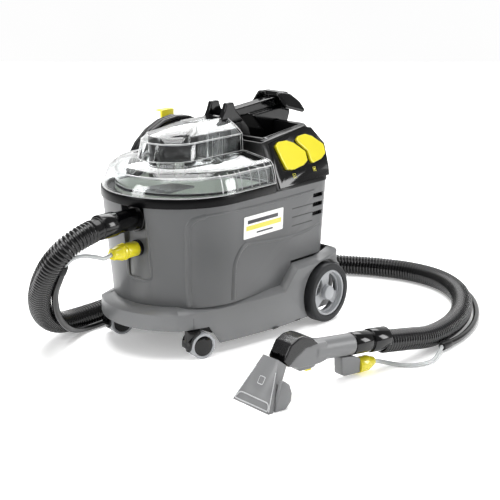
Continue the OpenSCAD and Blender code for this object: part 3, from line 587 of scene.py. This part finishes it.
def bead(name, points, width, finish="tub_grey_abs", body="machine"):
    """A line through points in millimetres, with a round section of a width in millimetres."""
    piece = line_object(name, eased([tuple(v * MM for v in p) for p in points], 6), width * MM)
    piece.data.materials.append(finishes[finish])
    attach(piece, body)


bead("nose_ridge", [on_tub(x, z, -5.0) for x, z in (
    (-157, 98), (-160, 136), (-164, 192), (-167, 240), (-164, 255), (-155, 263), (-140, 267))], 15)
bead("rim_border", [on_tub(x, z, -1.6) for x, z in (
    (-140, 267), (-111, 268.5), (-72, 267), (-19, 266), (60, 266), (150, 267))], 6)
bead("side_ridge", [on_tub(x, z, -5.0) for x, z in (
    (-76, 98), (-76, 134), (-75, 162), (-70, 176), (-58, 191), (-44, 199))], 15)
bead("side_band", [on_tub(x, z, -4.0) for x, z in (
    (-50, 198), (-20, 196), (40, 190), (97, 188), (141, 191), (172, 198))], 11)
# The vent grooves are not cut: three dark beads paint the shade that falls in them.
for k, z in enumerate((241, 224, 207)):
    bead("vent_groove_shade_%d" % (k + 1), [on_tub(x, z, -1.0) for x in (86, 105, 125, 148)], 3, "groove_shade_grey")

# %% [markdown]
# The recess round the two sockets ends in a lip that catches the light.

# %% Recess lip


def on_nose(y, z, out=0.0):
    """The point of the tub's round nose at y and z in millimetres, moved outwards by out."""
    half, front = tub_plan(z)
    x = -math.sqrt(half * half - y * y)
    return (x + half - front + out * x / half, y + out * y / half, z)


bead("recess_lip", [on_nose(y, z, -1.2) for y, z in (
    (6.5, 200), (6.5, 158), (2, 147), (-10, 143.5), (-30, 143.5), (-42, 147), (-46, 158), (-46, 200),
    (-46, 262))], 5.5)

# %% [markdown]
# ## Label
#
# A printed film is glued on a shallow plate. The print here is a plain yellow stripe with two grey bars. Each
# bar is a thin slab, rounded at its edges, in the plate's own plane.

# %% Label print


def slab(name, size, finish, body, place):
    """A thin slab with rounded edges, of a size in millimetres, put in its place by a matrix."""
    bpy.ops.mesh.primitive_cube_add(size=1, scale=[v * MM for v in size])
    piece = added(name)
    bpy.ops.object.transform_apply(location=True, rotation=True, scale=True)
    rounded(piece, min(size) * 0.4 * MM)
    piece.matrix_world = place
    return dress(piece, finish, body)


plate = Matrix.Translation((0.002, -0.13976, 0.229)) @ Matrix.Rotation(math.radians(92.42), 4, "X")
for name, size, x, y, finish in (
        ("label_stripe", (99, 9, 0.5), 0, -1.5, "yellow_print"),
        ("label_bar_wide", (86, 7, 0.5), -3, 10, "grey_print"),
        ("label_bar_small", (46, 3, 0.5), 3, -13, "grey_print")):
    slab(name, size, finish, "machine", plate @ Matrix.Translation((x * MM, y * MM, 1.1 * MM)))

# %% [markdown]
# ## Panel signs
#
# Below each switch stands a small yellow sign: a square frame with a mark in it. They are plain shapes.

# %% Panel signs
panel = Matrix.Translation((0.050, -0.1405, 0.286)) @ Matrix.Rotation(math.radians(68), 4, "X")
for k, (x, y) in enumerate(((49, 17.6), (111, 21.4))):
    bpy.ops.mesh.primitive_torus_add(major_segments=4, minor_segments=8, major_radius=5.4 * MM,
                                     minor_radius=0.5 * MM, rotation=(0, 0, math.pi / 4))
    sign = added("panel_sign_%d" % (k + 1))
    bpy.ops.object.transform_apply(location=True, rotation=True, scale=True)
    spot = panel @ Matrix.Translation((x * MM, y * MM, 0.2 * MM))
    sign.matrix_world = spot
    dress(sign, "yellow_print", "machine")
    slab("panel_mark_%d" % (k + 1), (4.2, 1.2 + 2.4 * k, 0.6), "yellow_print", "machine", spot)

# %% [markdown]
# ## Edges of the clear lid
#
# Light that enters a clear moulding leaves it again at its edges and ribs, so they shine white while the walls stay
# dark. That shine is painted here. The sharp edges of the lid's own shell are picked out, turned into a curve and
# given a thin round section in a white finish: a painted highlight. Ribs stand along both sides of the lid, and a
# short clear duct with ribs of its own stands in the dome. These ribs are real, and their white is a painted
# highlight too.

# %% Bright edges


def edge_lines(name, shell, sharpness, width, body):
    """A network of thin round lines on the sharp edges of a shell, in a white finish that paints a highlight."""
    pick(shell)
    bpy.ops.object.mode_set(mode="EDIT")
    bpy.ops.mesh.select_mode(type="EDGE")
    bpy.ops.mesh.select_all(action="DESELECT")
    bpy.ops.mesh.edges_select_sharp(sharpness=math.radians(sharpness))
    leave()
    ends = [tuple(e.vertices) for e in shell.data.edges if e.select]
    mesh = bpy.data.meshes.new(name)
    mesh.from_pydata([v.co.copy() for v in shell.data.vertices], ends, [])
    piece = bpy.data.objects.new(name, mesh)
    bpy.context.scene.collection.objects.link(piece)
    choose(piece, points=lambda p: True)
    bpy.ops.mesh.delete_loose(use_verts=True, use_edges=False, use_faces=False)
    leave()
    bpy.ops.object.convert(target="CURVE")
    piece = bpy.context.object
    piece.data.bevel_depth = width / 2 * MM
    piece.data.bevel_resolution = 1
    piece.data.use_fill_caps = True
    piece.data.materials.clear()
    piece.data.materials.append(finishes["edge_highlight_white"])
    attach(piece, body)
    print(name, len(ends), "edges")


# White lines on the lid's sharp edges and along its ribs: painted highlights.
edge_lines("lid_edges", shells["tank_lid"], 24, 1.3, "tank_lid")
for side in (-1, 1):
    for k, x in enumerate((-107, -87, -69, -57, -30, -8, 14)):
        bead("lid_rib_%s_%d" % ("near" if side < 0 else "far", k + 1),
             [(x, side * 138.2, 303), (x, side * 136.5, 315), (x, side * 132.5, 330), (x, side * 128, 337)], 1.8,
             "edge_highlight_white", "tank_lid")
DUCT_X, DUCT_Y, DUCT_RADIUS = 2, -20, 18
DUCT_LOW, DUCT_MIDDLE, DUCT_TOP = 333, 357, 381
bpy.ops.mesh.primitive_cylinder_add(vertices=48, radius=DUCT_RADIUS * MM, depth=50 * MM,
                                    location=(DUCT_X * MM, DUCT_Y * MM, DUCT_MIDDLE * MM),
                                    end_fill_type="NOTHING")
duct = added("dome_duct")
shell = duct.modifiers.new("shell", "SOLIDIFY")
shell.thickness = 2 * MM
applied(duct)
bpy.ops.object.shade_smooth_by_angle(angle=SMOOTH_BELOW)
dress(duct, "clear_polycarbonate", "tank_lid")
# The duct's ribs are thin white lines: painted highlights on real ribs.
for k, a in enumerate((20, 80, 140, 200, 235, 265, 290, 330)):
    x = DUCT_X + DUCT_RADIUS * math.cos(math.radians(a))
    y = DUCT_Y + DUCT_RADIUS * math.sin(math.radians(a))
    bead("duct_rib_%d" % (k + 1), [(x, y, z) for z in (DUCT_LOW, DUCT_MIDDLE, DUCT_TOP)], 1.2,
         "edge_highlight_white", "tank_lid")

# %% [markdown]
# ## Coupler nuts and drain slots
#
# The spray coupler at the machine ends in a hexagonal nut that clamps the clear tube, with three grip rings behind
# it. Two short dark slabs on the skirt's lower edge paint the shade in its drain slots.

# %% Coupler nuts and drain slots


def coupler_nut(name, place):
    """A hexagonal nut and three grip rings round the x axis of a place in metres."""
    bpy.ops.mesh.primitive_cylinder_add(vertices=6, radius=11.5 * MM, depth=10 * MM, rotation=(0, math.pi / 2, 0))
    nut = added(name)
    bpy.ops.object.transform_apply(location=True, rotation=True, scale=True)
    rounded(nut, 1.2 * MM, 3)
    nut.matrix_world = place
    dress(nut, "yellow_abs", "machine")
    for k, (x, radius) in enumerate(((10, 12.2), (17, 14.1), (24, 14.6))):
        bpy.ops.mesh.primitive_torus_add(major_segments=48, minor_segments=10, major_radius=radius * MM,
                                         minor_radius=1.1 * MM, rotation=(0, math.pi / 2, 0))
        ring = added("%s_ring_%d" % (name, k + 1))
        bpy.ops.object.transform_apply(location=True, rotation=True, scale=True)
        ring.matrix_world = place @ Matrix.Translation((x * MM, 0, 0))
        dress(ring, "yellow_abs", "machine")


coupler_nut("machine_nut", Matrix.Translation((-0.264, -0.018, 0.203)))
# Dark slabs on the skirt's surface: painted shade where the drain slots are.
for k, x in enumerate((26, 92)):
    slab("drain_slot_shade_%d" % (k + 1), (16, 3, 3), "groove_shade_grey", "machine",
         Matrix.Translation((x * MM, -150.2 * MM, 21 * MM)))

# %% [markdown]
# ## Casters
#
# A twin caster wheel has a pale tread round a black disc. The disc sits in the hollow of the wheel's face. Both
# casters are turned a little from straight, so their discs are too.

# %% Caster discs
CASTER_TURN = math.radians(-17)
axis = Matrix.Rotation(CASTER_TURN, 4, "Z") @ Vector((0, 1, 0))
for name in ("near", "far"):
    low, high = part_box(name + "_caster_wheels")
    middle = [(low[i] + high[i]) / 2 for i in range(3)]
    for k, out in enumerate((-1, 1)):
        bpy.ops.mesh.primitive_cylinder_add(vertices=40, radius=18.4 * MM, depth=3.4 * MM)
        disc = added("%s_caster_disc_%d" % (name, k + 1))
        choose(disc, faces=lambda c, n: n.z > 0.9)
        bpy.ops.mesh.inset(thickness=12 * MM)
        bpy.ops.transform.translate(value=(0, 0, 0.8 * MM))
        leave()
        rounded(disc, 0.6 * MM, 2, 20)
        facing = (axis * out).to_track_quat("Z", "X").to_matrix().to_4x4()
        disc.matrix_world = Matrix.Translation(Vector(middle) + axis * out * 14.0 * MM) @ facing
        dress(disc, "polished_black_abs", name + "_rollers")

# %% [markdown]
# ## Nozzle of the hand tool
#
# The nozzle is a flat funnel of smoked plastic. A frosted frame runs along its lip, where the carpet's water is
# drawn up, a plain rounded frame stands on its front, and a line runs up each side.

# %% Nozzle frames
tool = Matrix.Translation((-0.262, -0.342, 0)) @ Matrix.Rotation(math.radians(-10), 4, "Z")
lip, neck = Vector((-5, 0, 0)), Vector((39.5, 0, 76.5))
rise = (neck - lip).normalized()
across = Vector((0, 1, 0))


def on_front(up, side):
    """A point on the nozzle's front, up from the lip and to a side, all in millimetres."""
    p = tool @ ((lip + rise * up + across * side) * MM)
    return tuple(v / MM for v in p)


for name, loop, width in (
        ("nozzle_lip_frame", [(4, -41), (4, 0), (4, 41), (10, 40.5), (15, 37), (17, 30), (17, 0), (17, -30),
                              (15, -37), (10, -40.5), (4, -41)], 2.2),
        ("nozzle_badge_frame", [(41, -5), (41, 5), (43, 6.5), (52, 6.5), (54, 5), (54, -5), (52, -6.5), (43, -6.5),
                                (41, -5)], 1.6),
        ("nozzle_side_line_near", [(4, -45), (25, -38.5), (48, -31.5), (68, -25)], 1.8),
        ("nozzle_side_line_far", [(4, 45), (25, 38.5), (48, 31.5), (68, 25)], 1.8)):
    bead(name, [on_front(up, side) for up, side in loop], width, "frosted_edge", "machine")

# %% [markdown]

# %% [markdown]
# ## Solids that stay
#
# A solid that no shell replaces is shown as it is. Its slot says what it is made of, and so which finish it wears.

# %% Finishes of the solids that stay
slot_finish = {
    "grey_plastic": "grey_abs", "black_plastic": "black_abs", "gloss_black": "polished_black_abs",
    "label_white": "label_film", "tank_white": "tank_polyethylene", "clear_plastic": "clear_polycarbonate",
    "black_rubber": "lead_rubber", "yellow_gloss": "yellow_abs", "light_grey": "light_grey_pp",
    "tyre_grey": "tyre_elastomer", "hose_black": "hose_vinyl", "aluminium": "cast_aluminium",
    "steel": "zinc_steel", "brass": "turned_brass"}
for node, solid in nodes.items():
    solid.data.materials.clear()
    solid.data.materials.append(finishes[slot_finish[slot_of_node[node]]])

# %% [markdown]
# ## Floor and light
#
# The floor is a wide pale sheet, and a pale wall well behind it, square to the camera, glows as a lit studio wall
# does. A big soft light hangs above, a second stands beyond the nose, a third fills the near side from the rear
# end, and a fourth lights the floor behind the machine. A dim white sky fills the shadows.

# %% Floor and light
WHITE = (1, 1, 1, 1)
tree, place, out = begin("studio_floor")
paper = add(tree, "ShaderNodeTexNoise", {"Scale": 40.0, "Detail": 3.0}, {"Vector": place})
tone = add(tree, "ShaderNodeMix", {"data_type": "RGBA", 6: linear("#FBFBFB"), 7: linear("#FDFDFD")},
           {0: paper.outputs["Fac"]})
paint = add(tree, "ShaderNodeBsdfPrincipled",
            {"Roughness": 0.85, "Emission Color": WHITE, "Emission Strength": 0.3},
            {"Base Color": tone.outputs[2]})
tree.links.new(paint.outputs[0], out.inputs[0])
bpy.ops.mesh.primitive_plane_add(size=14, location=(0, 0, 0))
floor = added("floor")
floor.data.materials.append(finishes["studio_floor"])

tree, place, out = begin("studio_wall")
mottle = add(tree, "ShaderNodeTexNoise", {"Scale": 2.0, "Detail": 2.0}, {"Vector": place})
glow = add(tree, "ShaderNodeMapRange", {"To Min": 0.97, "To Max": 1.0}, {"Value": mottle.outputs["Fac"]})
lit = add(tree, "ShaderNodeEmission", {"Color": WHITE}, {"Strength": glow.outputs[0]})
tree.links.new(lit.outputs[0], out.inputs[0])
bpy.ops.mesh.primitive_plane_add(size=9, location=(3.0, 2.6, 2.2), rotation=(math.pi / 2, 0, CAMERA_HEADING))
wall = added("studio_wall")
wall.data.materials.append(finishes["studio_wall"])

world = bpy.data.worlds.new("studio")
bpy.context.scene.world = world
world.use_nodes = True
sky = world.node_tree.nodes["Background"]
sky.inputs["Color"].default_value = WHITE
sky.inputs["Strength"].default_value = 0.34
bpy.context.scene.view_settings.view_transform = "Standard"


def soft_light(name, place, target, size, power):
    """A soft rectangular light at a place, facing a target, of a size in metres and a power in watts."""
    lamp = bpy.data.lights.new(name, "AREA")
    lamp.shape = "RECTANGLE"
    lamp.size, lamp.size_y = size
    lamp.energy = power
    holder = bpy.data.objects.new(name, lamp)
    bpy.context.scene.collection.objects.link(holder)
    holder.location = place
    holder.rotation_euler = (Vector(place) - Vector(target)).to_track_quat("Z", "Y").to_euler()


soft_light("top", (-0.2, -0.2, 2.4), (0, 0, 0.2), (1.8, 1.8), 46)
soft_light("nose_side", (-2.6, 0.9, 1.3), (0, 0, 0.2), (1.0, 1.6), 42)
soft_light("near_side", (1.6, -2.4, 1.0), (0, 0, 0.2), (0.8, 1.4), 34)
soft_light("back_floor", (2.0, 1.8, 2.6), (1.9, 1.6, 0), (3.0, 3.0), 130)
